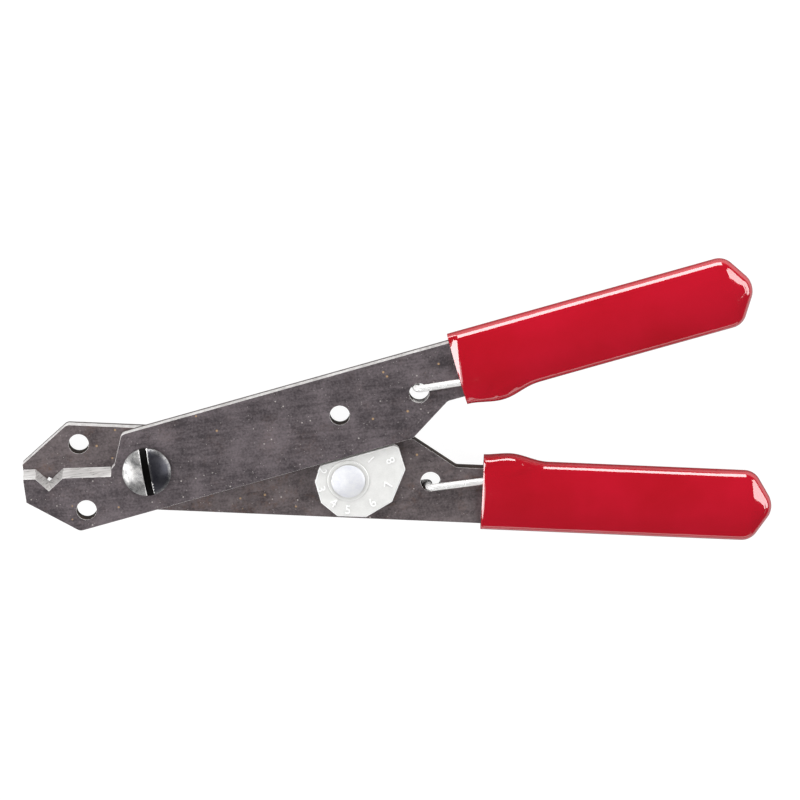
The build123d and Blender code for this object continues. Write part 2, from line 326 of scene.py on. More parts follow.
def makeBladeSteel(s):
    material, tree, shader, place = newMaterial("bladeSteel")
    lines = noise(tree, stretched(tree, place, s["lineTurn"], s["lineStretch"]), *s["lines"])
    feed(tree, shader, colour=mix(tree, ramp(tree, lines, *s["toneRange"]), s["dark"], s["light"]))
    feed(tree, shader, metallic=s["metallic"], roughness=ramp(tree, lines, *s["gloss"]))
    bump(tree, shader, lines, *s["bump"])
    return material


# Plain metals of the small parts, each with its own colour and finish. One half of the screw's head is
# painted near black, a painted shade for the dark reflection on that half, with its rim spared so that the
# highlight there stays. The rim's range is a range of the normal's Z, with what is left at its ends.
metals = {
    "screwSteel": {
        "dark": (0.13, 0.13, 0.135),
        "light": (0.60, 0.59, 0.58),
        "metallic": 0.65,
        "gloss": (0.24, 0.42),
        # painted shade: the near-black colour of one half of the screw's head, and how that half is drawn
        "shadedHalfColour": (0.018, 0.018, 0.028),
        "shadedHalfEdge": (-0.6, 0.9),
        "shadedHalfRagged": 3.0,
        "shadedHalfShare": 0.95,
        "shadedHalfRim": (0.74, 0.88, 0.2, 1.0),
    },
    "dialMetal": {
        "dark": (0.72, 0.72, 0.705),
        "light": (0.80, 0.80, 0.785),
        "metallic": 0.08,
        "gloss": (0.42, 0.55),
    },
    # painted highlight: near white, for the dial's raised figures and its broken edges
    "paintedHighlightWhite": {
        "dark": (0.96, 0.96, 0.96),
        "light": (1.0, 1.0, 1.0),
        "metallic": 0.0,
        "gloss": (0.35, 0.45),
    },
    "rivetSteel": {
        "dark": (0.71, 0.72, 0.78),
        "light": (0.82, 0.825, 0.84),
        "metallic": 0.1,
        "gloss": (0.30, 0.42),
    },
    "zincSteel": {
        "dark": (0.38, 0.37, 0.35),
        "light": (0.62, 0.61, 0.58),
        "metallic": 0.9,
        "gloss": (0.30, 0.48),
    },
    # painted shade: the near-black inside of the screw's slot
    "slotPaintedShade": {
        "dark": (0.001, 0.001, 0.001),
        "light": (0.006, 0.005, 0.005),
        "metallic": 0.0,
        "gloss": (0.60, 0.80),
        "shine": 0.1,
    },
    "springSteel": {
        "dark": (0.86, 0.85, 0.84),
        "light": (0.98, 0.98, 0.97),
        "metallic": 0.3,
        "gloss": (0.18, 0.32),
    },
}
metalWear = {
    "clouds": (0.8, 5, 0.6),
    "grain": (7.0, 3, 0.6),
    "toneShares": (0.6, 0.4),
    "toneRange": (0.38, 0.62),
    "glossRange": (0.3, 0.7),
    "shine": 0.5,
    "scratches": (1.0, 3, 0.7),
    "scratchTurn": 0.6,
    "scratchStretch": (0.5, 12.0, 1.0),
    "scratchRange": (0.62, 0.75, 0, 0.35),
    "grainBump": (0.25, 0.01 * mm),
    "scratchBump": (0.2, 0.01 * mm),
}


# The share of the painted shade on the screw's head: one half with a ragged edge, less on the rim
def shadedHalfShare(tree, place, clouds, s):
    across = addNode(tree, "ShaderNodeSeparateXYZ", {"Vector": place}).outputs["X"]
    wander = calculate(tree, "SUBTRACT", clouds, noiseMiddle)
    edge = calculate(tree, "ADD", across, calculate(tree, "MULTIPLY", wander, s["shadedHalfRagged"]))
    half = ramp(tree, edge, *s["shadedHalfEdge"], 0, s["shadedHalfShare"])
    normal = addNode(tree, "ShaderNodeNewGeometry").outputs["Normal"]
    upright = addNode(tree, "ShaderNodeSeparateXYZ", {"Vector": normal}).outputs["Z"]
    return calculate(tree, "MULTIPLY", half, ramp(tree, upright, *s["shadedHalfRim"]))


def makeMetal(name, s, wear):
    material, tree, shader, place = newMaterial(name)
    clouds = noise(tree, place, *wear["clouds"])
    grain = noise(tree, place, *wear["grain"])
    across = stretched(tree, place, wear["scratchTurn"], wear["scratchStretch"])
    scratches = noise(tree, across, *wear["scratches"])
    tone = weighted(tree, (clouds, grain), wear["toneShares"])
    colour = mix(tree, ramp(tree, tone, *wear["toneRange"]), s["dark"], s["light"])
    colour = mix(tree, ramp(tree, scratches, *wear["scratchRange"]), colour, s["light"])
    # painted shade on one half of the screw's head
    if "shadedHalfColour" in s:
        colour = mix(tree, shadedHalfShare(tree, place, clouds, s), colour, s["shadedHalfColour"])
    feed(tree, shader, colour=colour, metallic=s["metallic"])
    feed(tree, shader, roughness=ramp(tree, tone, *wear["glossRange"], *s["gloss"]))
    shader.inputs["Specular IOR Level"].default_value = s.get("shine", wear["shine"])
    first = bump(tree, shader, grain, *wear["grainBump"])
    bump(tree, shader, scratches, *wear["scratchBump"], first)
    return material


# Dipped vinyl of the grips, darker where it turns away from the eye, which is a painted shade, with a few
# grains of dust
vinyl = {
    "deep": (0.43, 0.001, 0.011),
    "bright": (0.49, 0.002, 0.017),
    "clouds": (0.09, 3, 0.5),
    "cloudRange": (0.35, 0.65),
    # painted shade: the colour that faces turning away from the eye go towards
    "turned": (0.36, 0.001, 0.008),
    "paintedShadeBlend": 0.5,
    "paintedShadeRange": (0.35, 0.8),
    "dust": {"scale": 0.16, "size": 0.02, "cells": 0.5, "strength": 0.6, "colour": (0.75, 0.35, 0.33)},
    "fine": (1.4, 3, 0.5),
    "gloss": (0.35, 0.65, 0.30, 0.42),
    "coat": 0.8,
    "coatRoughness": 0.07,
    "coatIor": 2.25,
    "ripples": (0.35, 2, 0.45),
    "rippleBump": (0.25, 0.15 * mm),
    "fineBump": (0.03, 0.05 * mm),
}


def makeVinyl(s):
    material, tree, shader, place = newMaterial("vinyl")
    clouds = noise(tree, place, *s["clouds"])
    fine = noise(tree, place, *s["fine"])
    ripples = noise(tree, place, *s["ripples"])
    facing = addNode(tree, "ShaderNodeLayerWeight", {"Blend": s["paintedShadeBlend"]}).outputs["Facing"]
    colour = mix(tree, ramp(tree, clouds, *s["cloudRange"]), s["deep"], s["bright"])
    # painted shade on the faces that turn away from the eye
    colour = mix(tree, ramp(tree, facing, *s["paintedShadeRange"]), colour, s["turned"])
    feed(tree, shader, colour=speckled(tree, place, colour, s["dust"]), metallic=0.0)
    feed(tree, shader, roughness=ramp(tree, fine, *s["gloss"]))
    shader.inputs["Specular IOR Level"].default_value = 0.0
    shader.inputs["Coat Weight"].default_value = s["coat"]
    shader.inputs["Coat Roughness"].default_value = s["coatRoughness"]
    shader.inputs["Coat IOR"].default_value = s["coatIor"]
    first = bump(tree, shader, ripples, *s["rippleBump"])
    normal = bump(tree, shader, fine, *s["fineBump"], first)
    tree.links.new(normal, shader.inputs["Coat Normal"])
    return material


leverFaces = {side: makeLeverFace(side, leverFace) for side in bothSides}
edgeMetals = {}
for side in bothSides:
    for name, look in leverEdges.items():
        edgeMetals[side, name] = makeLeverEdge(side, name, look, sheared)
bladeMaterial = makeBladeSteel(bladeSteel)
metal = {name: makeMetal(name, look, metalWear) for name, look in metals.items()}
vinylMaterial = makeVinyl(vinyl)
print("materials are made")


# Mesh helpers
def newObject(name, mesh):
    obj = bpy.data.objects.new(name, mesh)
    bpy.context.scene.collection.objects.link(obj)
    return obj


# Works the modifiers of an object into its mesh
def baked(obj):
    bpy.context.view_layer.update()
    evaluated = obj.evaluated_get(bpy.context.evaluated_depsgraph_get())
    mesh = bpy.data.meshes.new_from_object(evaluated)
    obj.modifiers.clear()
    obj.data = mesh
    return obj


# Starts a geometry tree whose sizes are inputs of their own
def newTree(name, sizes):
    tree = bpy.data.node_groups.new(name, "GeometryNodeTree")
    tree.interface.new_socket("Geometry", in_out="INPUT", socket_type="NodeSocketGeometry")
    for label, size in sizes.items():
        kind = "NodeSocketInt" if isinstance(size, int) else "NodeSocketFloat"
        tree.interface.new_socket(label, in_out="INPUT", socket_type=kind)
    tree.interface.new_socket("Geometry", in_out="OUTPUT", socket_type="NodeSocketGeometry")
    return tree, addNode(tree, "NodeGroupInput").outputs


# Ends a geometry tree, gives it to the object with its sizes, and works it in
def grown(obj, tree, geometry, material, sizes):
    whole = addNode(tree, "GeometryNodeRealizeInstances", {"Geometry": geometry}).outputs[0]
    inputs = {"Geometry": whole, "Material": material}
    painted = addNode(tree, "GeometryNodeSetMaterial", inputs).outputs[0]
    addNode(tree, "NodeGroupOutput", {"Geometry": painted})
    modifier = obj.modifiers.new("shape", "NODES")
    modifier.node_group = tree
    for item in tree.interface.items_tree:
        if item.item_type == "SOCKET" and item.in_out == "INPUT" and item.name in sizes:
            modifier[item.identifier] = sizes[item.name]
    return baked(obj)


def smooth(mesh, sharp):
    mesh.polygons.foreach_set("use_smooth", [True] * len(mesh.polygons))
    mesh.set_sharp_from_angle(angle=sharp)


# Cuts a flat face into small squares and lets it fall off towards its rim
def crowned(work, crown):
    low = Vector([min(vertex.co[axis] for vertex in work.verts) for axis in range(3)])
    high = Vector([max(vertex.co[axis] for vertex in work.verts) for axis in range(3)])
    for axis in (0, 1):
        for index in range(1, crown["cuts"]):
            place = low.lerp(high, index / crown["cuts"])
            across = Vector((axis == 0, axis == 1, 0))
            parts = work.verts[:] + work.edges[:] + work.faces[:]
            bmesh.ops.bisect_plane(work, geom=parts, plane_co=place, plane_no=across, dist=crown["snap"])
    middle = (low + high) / 2
    for vertex in work.verts:
        if vertex.co.z > high.z - crown["depth"]:
            share = (vertex.co - middle).xy.length / (high.x - middle.x)
            vertex.co.z -= crown["fall"] * share * share


# How a node's mesh is cleaned, which of its edges are broken, and which stay sharp to the eye
cleaning = {
    "merge": 0.0005 * mm,
    "level": math.radians(0.6),
    "broken": math.radians(25),
    "segments": 2,
    "sharp": math.radians(20),
}


# A copy of a node's mesh with its sharp edges broken
def softened(node, name, width, crown=None):
    s = cleaning
    mesh = nodes[node].data.copy()
    mesh.name = name
    work = bmesh.new()
    work.from_mesh(mesh)
    bmesh.ops.remove_doubles(work, verts=work.verts, dist=s["merge"])
    bmesh.ops.dissolve_limit(
        work, angle_limit=s["level"], verts=work.verts, edges=work.edges, use_dissolve_boundaries=False
    )
    if crown:
        crowned(work, crown)
    bmesh.ops.recalc_face_normals(work, faces=work.faces)
    work.to_mesh(mesh)
    work.free()
    mesh.materials.clear()
    loaded = ("custom_normal", "sharp_edge", "sharp_face")
    for attribute in [a.name for a in mesh.attributes if a.name in loaded]:
        mesh.attributes.remove(mesh.attributes[attribute])
    obj = newObject(name, mesh)
    edge = obj.modifiers.new("edges", "BEVEL")
    edge.width = width
    edge.segments = s["segments"]
    edge.limit_method = "ANGLE"
    edge.angle_limit = s["broken"]
    baked(obj)
    smooth(obj.data, s["sharp"])
    flat = obj.modifiers.new("flat", "WEIGHTED_NORMAL")
    flat.keep_sharp = True
    return baked(obj)


def finishPiece(obj, body, slot, *replaced):
    if replaced:
        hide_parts(*replaced)
    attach(obj, body)


# Levers: flat faces, bright edges, walls in the holes and behind painted dark as a painted shade, and the
# ground bevel of the jaws. flat and upright are limits of the normal's Z. The holes are (u, v) places.
leverLook = {
    "edgeBreak": 0.13 * mm,
    "flat": 0.985,
    "upright": 0.12,
    "groundArea": 0.8 * mm * mm,
    "jawEnd": -5.0 * mm,
    "holes": ((-11.7 * mm, -3.62 * mm), (33.85 * mm, 0.36 * mm), (47.45 * mm, 1.31 * mm)),
    "holeReach": 2.2 * mm,
    "paintedShadeFrom": 30 * mm,
}


def makeLever(side, s):
    node = leverNode[side]
    lever = softened(node, f"{node}_plate", s["edgeBreak"])
    finishes = (leverFaces[side], edgeMetals[side, "bright"], bladeMaterial, edgeMetals[side, "paintedShade"])
    face, bright, ground, paintedShade = range(len(finishes))
    for material in finishes:
        lever.data.materials.append(material)
    holes = [onLever(side, u, v).xy for u, v in s["holes"]]
    for polygon in lever.data.polygons:
        tilt = abs(polygon.normal.z)
        place = polygon.center
        inHole = any((place.xy - hole).length < s["holeReach"] for hole in holes)
        behind = side < 0 and place.x > s["paintedShadeFrom"]
        if tilt > s["flat"]:
            polygon.material_index = face
        elif tilt > s["upright"] and polygon.area > s["groundArea"] and place.x < s["jawEnd"]:
            polygon.material_index = ground
        # walls in the holes and on the back lever past a given X take the painted shade
        elif tilt < s["upright"] and (inHole or behind):
            polygon.material_index = paintedShade
        else:
            polygon.material_index = bright
    finishPiece(lever, bodies[side], "lever_steel", node)


for side in bothSides:
    makeLever(side, leverLook)
print("levers are made")


# Grips: a vinyl sleeve over each tang, with a crowned face, rounded edges, a blunt pointed end and a
# swelling over the hook of the spring. The height of its face follows the distance from its outline.
# mouthDrop and mouthSlope each hold a value by the wire and one at the outer side.
grip = {
    "wall": 1.22 * mm,
    "thickness": 5.15 * mm,
    "edgeRadius": 1.5 * mm,
    "edgeTurn": math.radians(72),
    "sideFlat": 0.3 * mm,
    "start": {1: 54.9 * mm, -1: 56.5 * mm},
    "end": {1: 106.57 * mm, -1: 105.98 * mm},
    "endSlope": 3.8 * mm,
    "cornerRadius": 3.0 * mm,
    "tipRadius": 3.4 * mm,
    "bulgePeak": 60.8 * mm,
    "bulgeHeight": 1.2 * mm,
    "bulgeLength": 6.6 * mm,
    "bulgeAtMouth": {1: 0.28, -1: 0.7},  # shares of the height
    "hookCover": 0.31 * mm,
    "hookSpread": 4.5 * mm,
    "hookMiddle": (60.5 * mm, -2.4 * mm),
    "mouthDrop": {1: (0.16 * mm, 1.05 * mm), -1: (0.20 * mm, 0.24 * mm)},
    "mouthSlope": {1: (0.18 * mm, 1.75 * mm), -1: (0.30 * mm, 0.36 * mm)},
    "mouthDepth": 4.0 * mm,
    "pocketGap": 0.03 * mm,
    "wave": 0.05 * mm,
    "hookWave": 1.4 * mm,
    "hookWaveFrom": 0.75,  # share of the face's width, from the outer side
    "waveScale": 0.42 / mm,
    "step": 0.5 * mm,
    "fineStep": 0.12 * mm,
    "fineLength": 2 * mm,
    "bendStep": 0.03 * mm,
    "arcSteps": 12,
    "faceSteps": 26,
    "crownBlend": 8.0,  # how abruptly the crown gives way where the face is narrow
    "crownLeast": 0.01 * mm,
    "merge": 0.004 * mm,
    "sharp": math.radians(50),
}
wire = {
    "radius": 0.6 * mm,
    "gap": 0.05 * mm,
    "holeU": 47.45 * mm,
    "holeV": 1.31 * mm,
    "turnU": 60.2 * mm,
    "turnV": {1: -0.25 * mm, -1: -0.95 * mm},
    "hookU": 60.8 * mm,
    "hookV": -2.95 * mm,
    "hookDrop": 2.4 * mm,
    "coilRadius": 5.4 * mm,
    "coilSteps": 60,
    "bowU": 33.85 * mm,
    "bowV": 0.36 * mm,
    "bowOffset": 4.2 * mm,
    "riseStart": 10.0 * mm,
    "riseEnd": 16.0 * mm,
    "riseBend": 3.0 * mm,
    "bowShare": 0.22,
    "bend": 0.95 * mm,
    "step": 0.12 * mm,
    "sides": 18,
    "sharp": math.radians(50),
}


def wireLine(side, u):
    share = (u - wire["holeU"]) / (wire["turnU"] - wire["holeU"])
    return wire["holeV"] + share * (wire["turnV"][side] - wire["holeV"])


leastTurn = 1e-4  # radians, under which a corner counts as straight


# Points along straight runs joined by arcs, in 2-D or 3-D
def roundedPath(corners, radii, step):
    points = [corners[0].copy()]
    for before, corner, after, radius in zip(corners, corners[1:], corners[2:], radii):
        into = (corner - before).normalized()
        out = (after - corner).normalized()
        turn = into.angle(out)
        if turn < leastTurn:
            continue
        reach = radius * math.tan(turn / 2)
        inward = (out - into).normalized()
        centre = corner + inward * (radius / math.cos(turn / 2))
        count = max(4, math.ceil(radius * turn / step))
        first = corner - into * reach - centre
        for index in range(count + 1):
            angle = turn * index / count
            points.append(centre + first * math.cos(angle) + into * (radius * math.sin(angle)))
    points.append(corners[-1].copy())
    return points


# The same path with points at even distances
def evenly(points, step):
    points = np.array([tuple(point) for point in points])
    lengths = np.concatenate([[0], np.cumsum(np.linalg.norm(np.diff(points, axis=0), axis=1))])
    places = np.linspace(0, lengths[-1], math.ceil(lengths[-1] / step) + 1)
    return np.stack([np.interp(places, lengths, points[:, axis]) for axis in (0, 1)], 1)


# How far the grip's inner side stands out over the spring's hook
def swelling(side, u, s):
    peak, height = s["bulgePeak"], s["bulgeHeight"]
    after = np.clip((u - peak) / s["bulgeLength"], 0, 1)
    before = np.clip((peak - u) / (peak - s["start"][side]), 0, 1)
    fall = (1 - s["bulgeAtMouth"][side]) * before * before * (3 - 2 * before)
    return height * np.where(u >= peak, 0.5 + 0.5 * np.cos(math.pi * after), 1 - fall)


# The outer and the inner side of the outline as (u, v) points from the mouth to the tip, which match
# in pairs, each with its direction inwards
def gripSides(side, s):
    start, end = s["start"][side], s["end"][side]
    outer = tool["barOuter"] + s["wall"]
    inner = tool["tangInner"] - s["wall"]
    middle = (outer + inner) / 2
    corner = end - s["endSlope"]
    straightEnd = corner - s["cornerRadius"]
    corners = ((straightEnd, outer), (corner, outer), (end, middle), (corner, inner))
    radii = [s["cornerRadius"], s["tipRadius"]]
    tip = roundedPath([Vector(place) for place in corners], radii, s["bendStep"])
    half = [point for point in tip if point.y > middle] + [Vector((max(p.x for p in tip), middle))]
    bend = evenly(half, s["fineStep"])
    fineEnd = start + s["fineLength"]
    near = np.arange(start, fineEnd, s["fineStep"])
    far = np.arange(fineEnd, straightEnd - s["step"] / 2, s["step"])
    straight = np.concatenate([near, far])
    outside = np.concatenate([np.stack([straight, np.full(len(straight), outer)], 1), bend])
    inside = outside.copy()
    inside[:, 1] = 2 * middle - outside[:, 1]
    inside[: len(straight), 1] -= swelling(side, straight, s)
    sides = []
    for path, sign in ((outside, 1), (inside, -1)):
        along = np.gradient(path, axis=0)
        inward = sign * np.stack([along[:, 1], -along[:, 0]], 1)
        inward /= np.linalg.norm(inward, axis=1)[:, None]
        inward[0] = (0, -sign)
        inward[-1] = (-1, 0)
        sides.append((path, inward))
    return sides


# How far the face is cut back at the mouth, on a slope that can be wider at the outer side
def mouthCut(side, u, v, s):
    start = s["start"][side]
    share = np.clip((v - wireLine(side, start)) / (tool["barOuter"] + s["wall"]), 0, 1)
    pairs = (s["mouthDrop"][side], s["mouthSlope"][side])
    drop, slope = (byWire + (outside - byWire) * share for byWire, outside in pairs)
    return drop * np.clip(1 - (u - start) / slope, 0, 1)


# The sleeve laid flat: both faces on the grip's middle plane, with what their height follows
def gripLayout(side, s):
    arcs = s["edgeRadius"] * (1 - np.cos(np.linspace(0, s["edgeTurn"], s["arcSteps"] + 1)))
    rims = [path[:, None] + inward[:, None] * arcs[None, :, None] for path, inward in gripSides(side, s)]
    first, last = rims[0][:, -1], rims[1][:, -1]
    shares = (0.5 - 0.5 * np.cos(np.linspace(0, math.pi, s["faceSteps"] + 1)))[1:-1]
    face = first[:, None] + (last - first)[:, None] * shares[None, :, None]
    place = np.concatenate([rims[0], face, rims[1][:, ::-1]], 1)
    rows, columns = place.shape[:2]
    u, v = place[..., 0], place[..., 1]
    width = np.linalg.norm(last - first, axis=1)[:, None]
    edge = np.zeros(len(arcs))
    across = width * np.concatenate([edge, np.minimum(shares, 1 - shares), edge])[None]
    inset = np.tile(np.concatenate([arcs, np.full(len(shares), arcs[-1]), arcs[::-1]]), (rows, 1))
    crownReach = (s["thickness"] / 2 - crownFoot(s)) * 2 * math.tan(s["edgeTurn"])
    halfWidth = np.maximum(width / 2, s["crownLeast"])
    power = s["crownBlend"]
    reach = np.tile((crownReach**-power + halfWidth**-power) ** (-1 / power), (1, columns))
    hookU, hookV = s["hookMiddle"]
    hook = np.exp(-((u - hookU) ** 2 + (v - hookV) ** 2) / (2 * s["hookSpread"] ** 2))
    innerShare = np.clip((shares - s["hookWaveFrom"]) / (1 - s["hookWaveFrom"]), 0, 1)
    waves = np.concatenate([0 * arcs, innerShare, np.linspace(1, 0, len(arcs))])
    outward = swelling(side, u, s) / s["bulgeHeight"]
    values = {
        "across": across,
        "inset": inset,
        "reach": reach,
        "cut": mouthCut(side, u, v, s),
        "ripple": outward * waves,
    }
    both = {name: np.concatenate([value, value[:, ::-1]], 1).ravel() for name, value in values.items()}
    both["hook"] = np.concatenate([hook, 0 * hook], 1).ravel()  # on the upper face only
    both["face"] = np.tile(np.concatenate([np.ones(columns), -np.ones(columns)]), rows)
    return np.concatenate([place, place[:, ::-1]], 1), both


# Height of the grip's face where the rounded edge ends and the crown starts
def crownFoot(s):
    return s["sideFlat"] + s["edgeRadius"] * math.sin(s["edgeTurn"])


# Raises both faces: a round edge, then a crown, less the cut at the mouth, with slight waves
def raiseGrip(obj, s):
    sizes = {
        "Edge radius": s["edgeRadius"],
        "Side flat": s["sideFlat"],
        "Crown slope": 1 / math.tan(s["edgeTurn"]),
        "Hook cover": s["hookCover"],
        "Wave": s["wave"],
        "Hook wave": s["hookWave"],
        "Wave scale": s["waveScale"],
        "Lip": tool["plate"] / 2 + 2 * s["pocketGap"],
    }
    tree, size = newTree("gripHeight", sizes)

    def read(name):
        node = addNode(tree, "GeometryNodeInputNamedAttribute", {"Name": name}, data_type="FLOAT")
        return node.outputs["Attribute"]

    def calc(operation, first, second=0.0):
        return calculate(tree, operation, first, second)

    radius, reach = size["Edge radius"], read("reach")
    inward = calc("SUBTRACT", radius, read("inset"))
    squared = calc("SUBTRACT", calc("POWER", radius, 2), calc("POWER", inward, 2))
    rise = calc("SQRT", calc("MAXIMUM", squared, 0))
    left = calc("SUBTRACT", 1, calc("MINIMUM", calc("DIVIDE", read("across"), reach), 1))
    crown = calc("SUBTRACT", 1, calc("POWER", left, 2))
    crown = calc("MULTIPLY", crown, calc("MULTIPLY", reach, 0.5))
    height = calc("ADD", size["Side flat"], rise)
    height = calc("ADD", height, calc("MULTIPLY", crown, size["Crown slope"]))
    position = addNode(tree, "GeometryNodeInputPosition").outputs[0]
    swell = calc("SUBTRACT", noise(tree, position, size["Wave scale"], 1.0, 0.5), noiseMiddle)
    waves = calc("ADD", size["Wave"], calc("MULTIPLY", read("ripple"), size["Hook wave"]))
    waves = calc("MULTIPLY", waves, calc("DIVIDE", rise, radius))
    height = calc("ADD", height, calc("MULTIPLY", swell, waves))
    height = calc("ADD", height, calc("MULTIPLY", read("hook"), size["Hook cover"]))
    lip = calc("MINIMUM", height, size["Lip"])
    cut = calc("MAXIMUM", calc("SUBTRACT", height, read("cut")), lip)
    offset = addNode(tree, "ShaderNodeCombineXYZ", {"Z": calc("MULTIPLY", cut, read("face"))}).outputs[0]
    inputs = {"Geometry": size["Geometry"], "Offset": offset}
    raised = addNode(tree, "GeometryNodeSetPosition", inputs).outputs[0]
    return grown(obj, tree, raised, vinylMaterial, sizes)


def makeGrip(side, s):
    centreZ = leverBottom[side] + tool["plate"] / 2
    place, values = gripLayout(side, s)
    rows, columns = place.shape[:2]
    points = [onLever(side, u, v, centreZ) for u, v in place.reshape(-1, 2)]
    faces = []
    for row in range(rows - 1):
        for column in range(columns):
            following = (column + 1) % columns
            first, second = row * columns, (row + 1) * columns
            faces.append((first + column, first + following, second + following, second + column))
    mesh = bpy.data.meshes.new(gripNode[side] + "_sleeve")
    mesh.from_pydata(points, [], faces)
    for name, value in values.items():
        mesh.attributes.new(name, "FLOAT", "POINT").data.foreach_set("value", value.astype(np.float32))
    obj = raiseGrip(newObject(mesh.name, mesh), s)
    work = bmesh.new()
    work.from_mesh(obj.data)
    work.verts.ensure_lookup_table()
    makePocket(work, work.verts[:columns], side, centreZ, s)
    bmesh.ops.remove_doubles(work, verts=work.verts, dist=s["merge"])
    bmesh.ops.holes_fill(work, edges=work.edges, sides=0)  # the pocket's inner end
    bmesh.ops.recalc_face_normals(work, faces=work.faces)
    work.to_mesh(obj.data)
    work.free()
    for name in values:
        obj.data.attributes.remove(obj.data.attributes[name])
    smooth(obj.data, s["sharp"])
    finishPiece(obj, bodies[side], "grip_vinyl", gripNode[side])


# The lip round the tang and the wire, and the walls of the pocket behind it
def makePocket(work, mouth, side, centreZ, s):
    gap = s["pocketGap"]
    lipHeight = tool["plate"] / 2 + gap
    wireV = wireLine(side, s["start"][side])
    arch = wire["radius"] + gap
    archCentre = tool["plate"] / 2 + wire["gap"] + wire["radius"]
    outerEdge, innerEdge = tool["barOuter"] + gap, tool["tangInner"] - gap
    pocket = []
    for vertex in mouth:
        v, height = unplace(side, vertex.co, centreZ)
        lipV = min(max(v, innerEdge), outerEdge)
        lipZ = lipHeight if height > 0 else -lipHeight
        if height > 0 and abs(lipV - wireV) < arch:
            lipZ = max(lipHeight, archCentre + math.sqrt(arch**2 - (lipV - wireV) ** 2))
        pocket.append((lipV, lipZ))
    previous = mouth
    for depth in (0.0, s["mouthDepth"]):
        u = s["start"][side] + depth
        ring = [work.verts.new(onLever(side, u, v, centreZ + z)) for v, z in pocket]
        for index in range(len(mouth)):
            following = (index + 1) % len(mouth)
            work.faces.new((previous[following], previous[index], ring[index], ring[following]))
        previous = ring


# v and the height over the grip's middle plane, from a point
def unplace(side, place, centreZ):
    angle = side * tool["halfAngle"]
    v = side * (place.y * math.cos(angle) - place.x * math.sin(angle))
    return v, place.z - centreZ


for side in bothSides:
    makeGrip(side, grip)
print("grips are made")


# Return spring: one wire about the pivot nut, behind both levers, up through a hole in each and
# along the lever's front into the grip. Each leg leaves the coil at an angle to X towards its bow.
def springBow(side, w):
    return onLever(side, w["bowU"], w["bowV"]) + Vector((0, side * w["bowOffset"], 0))


def coilLean(w):
    bow = springBow(1, w)
    return math.atan2(bow.y, bow.x) - math.asin(w["coilRadius"] / bow.length)


def springLeg(side, w):
    low, under = (leverBottom[lever] - w["gap"] - w["radius"] for lever in (-1, side))
    top = leverTop[side] + w["gap"] + w["radius"]
    lean = coilLean(w)
    start = Vector((-w["coilRadius"] * math.sin(lean), side * w["coilRadius"] * math.cos(lean), low))
    along = Vector((math.cos(lean), side * math.sin(lean), 0))
    corners = [start]
    radii = []
    if side > 0:
        rise = Vector((0, 0, under - low))
        corners += [start + along * w["riseStart"], start + along * w["riseEnd"] + rise]
        radii += [w["riseBend"], w["riseBend"]]
    bow = springBow(side, w) + Vector((0, 0, under))
    hole = onLever(side, w["holeU"], w["holeV"], under)
    straight = hole - bow
    turn = (bow - corners[-1]).angle(straight)
    corners += [
        bow,
        hole,
        onLever(side, w["holeU"], w["holeV"], top),
        onLever(side, w["turnU"], w["turnV"][side], top),
        onLever(side, w["hookU"], w["hookV"], top),
        onLever(side, w["hookU"], w["hookV"], top - w["hookDrop"]),
    ]
    radii += [w["bowShare"] * straight.length / math.tan(turn / 2)] + [w["bend"]] * 4
    return roundedPath(corners, radii, w["step"])


# The wire's own line, which a geometry tree turns into a round wire
def makeSpring(s):
    upper, lower = springLeg(1, s), springLeg(-1, s)
    points = list(reversed(upper))
    lean = coilLean(s)
    first, last = math.pi / 2 + lean, 3 * math.pi / 2 - lean
    for index in range(1, s["coilSteps"]):
        angle = first + (last - first) * index / s["coilSteps"]
        x, y = s["coilRadius"] * math.cos(angle), s["coilRadius"] * math.sin(angle)
        points.append(Vector((x, y, upper[0].z)))
    points += lower
    mesh = bpy.data.meshes.new("return_wire")
    mesh.from_pydata(points, [(index, index + 1) for index in range(len(points) - 1)], [])
    obj = newObject("return_wire", mesh)
    sizes = {"Wire radius": s["radius"], "Sides": s["sides"]}
    tree, size = newTree("roundWire", sizes)
    line = addNode(tree, "GeometryNodeMeshToCurve", {"Mesh": size["Geometry"]}).outputs[0]
    inputs = {"Resolution": size["Sides"], "Radius": size["Wire radius"]}
    ring = addNode(tree, "GeometryNodeCurvePrimitiveCircle", inputs).outputs[0]
    inputs = {"Curve": line, "Profile Curve": ring, "Fill Caps": True}
    tube = addNode(tree, "GeometryNodeCurveToMesh", inputs).outputs[0]
    grown(obj, tree, tube, metal["springSteel"], sizes)
    smooth(obj.data, s["sharp"])
    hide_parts("return_spring")
    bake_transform(obj, "back_half", "front_half", start=(0, -3 * mm, 0), end=(0, 3 * mm, 0))


makeSpring(wire)
print("spring is made")


# Small parts: broken edges and a finish for each. The head of the screw is slightly domed.
screwCrown = {"depth": 1.3 * mm, "fall": 0.32 * mm, "cuts": 14, "snap": 0.0001 * mm}
screwSlot = {
    "turn": math.radians(2.5),
    "halfWidth": 0.605 * mm,
    "wornHighlight": 0.12 * mm,
    "flat": 0.97,  # limit of the normal's Z
    "above": 7.0 * mm,
}
dialEdgeHighlight = {"steep": 0.2, "flat": 0.97}  # limits of the normal's Z on the broken edges, which are painted white as a painted highlight
rivetShadeSide = {"flat": 0.6}  # the same for the rivet's sides, which take the darker zinc finish as a painted shade round its head
smallParts = (
    ("pivot_screw", "back_half", "screw_steel", "screwSteel", 0.10 * mm),
    ("pivot_nut", "back_half", "plated_steel", "zincSteel", 0.10 * mm),
    ("pivot_washer", "back_half", "plated_steel", "zincSteel", 0.04 * mm),
    ("dial", "dial", "dial_metal", "dialMetal", 0.10 * mm),
    ("dial_rivet", "back_half", "rivet_steel", "rivetSteel", 0.05 * mm),
    ("dial_washer", "back_half", "plated_steel", "zincSteel", 0.03 * mm),
    ("rivet_washer", "back_half", "plated_steel", "zincSteel", 0.05 * mm),
)


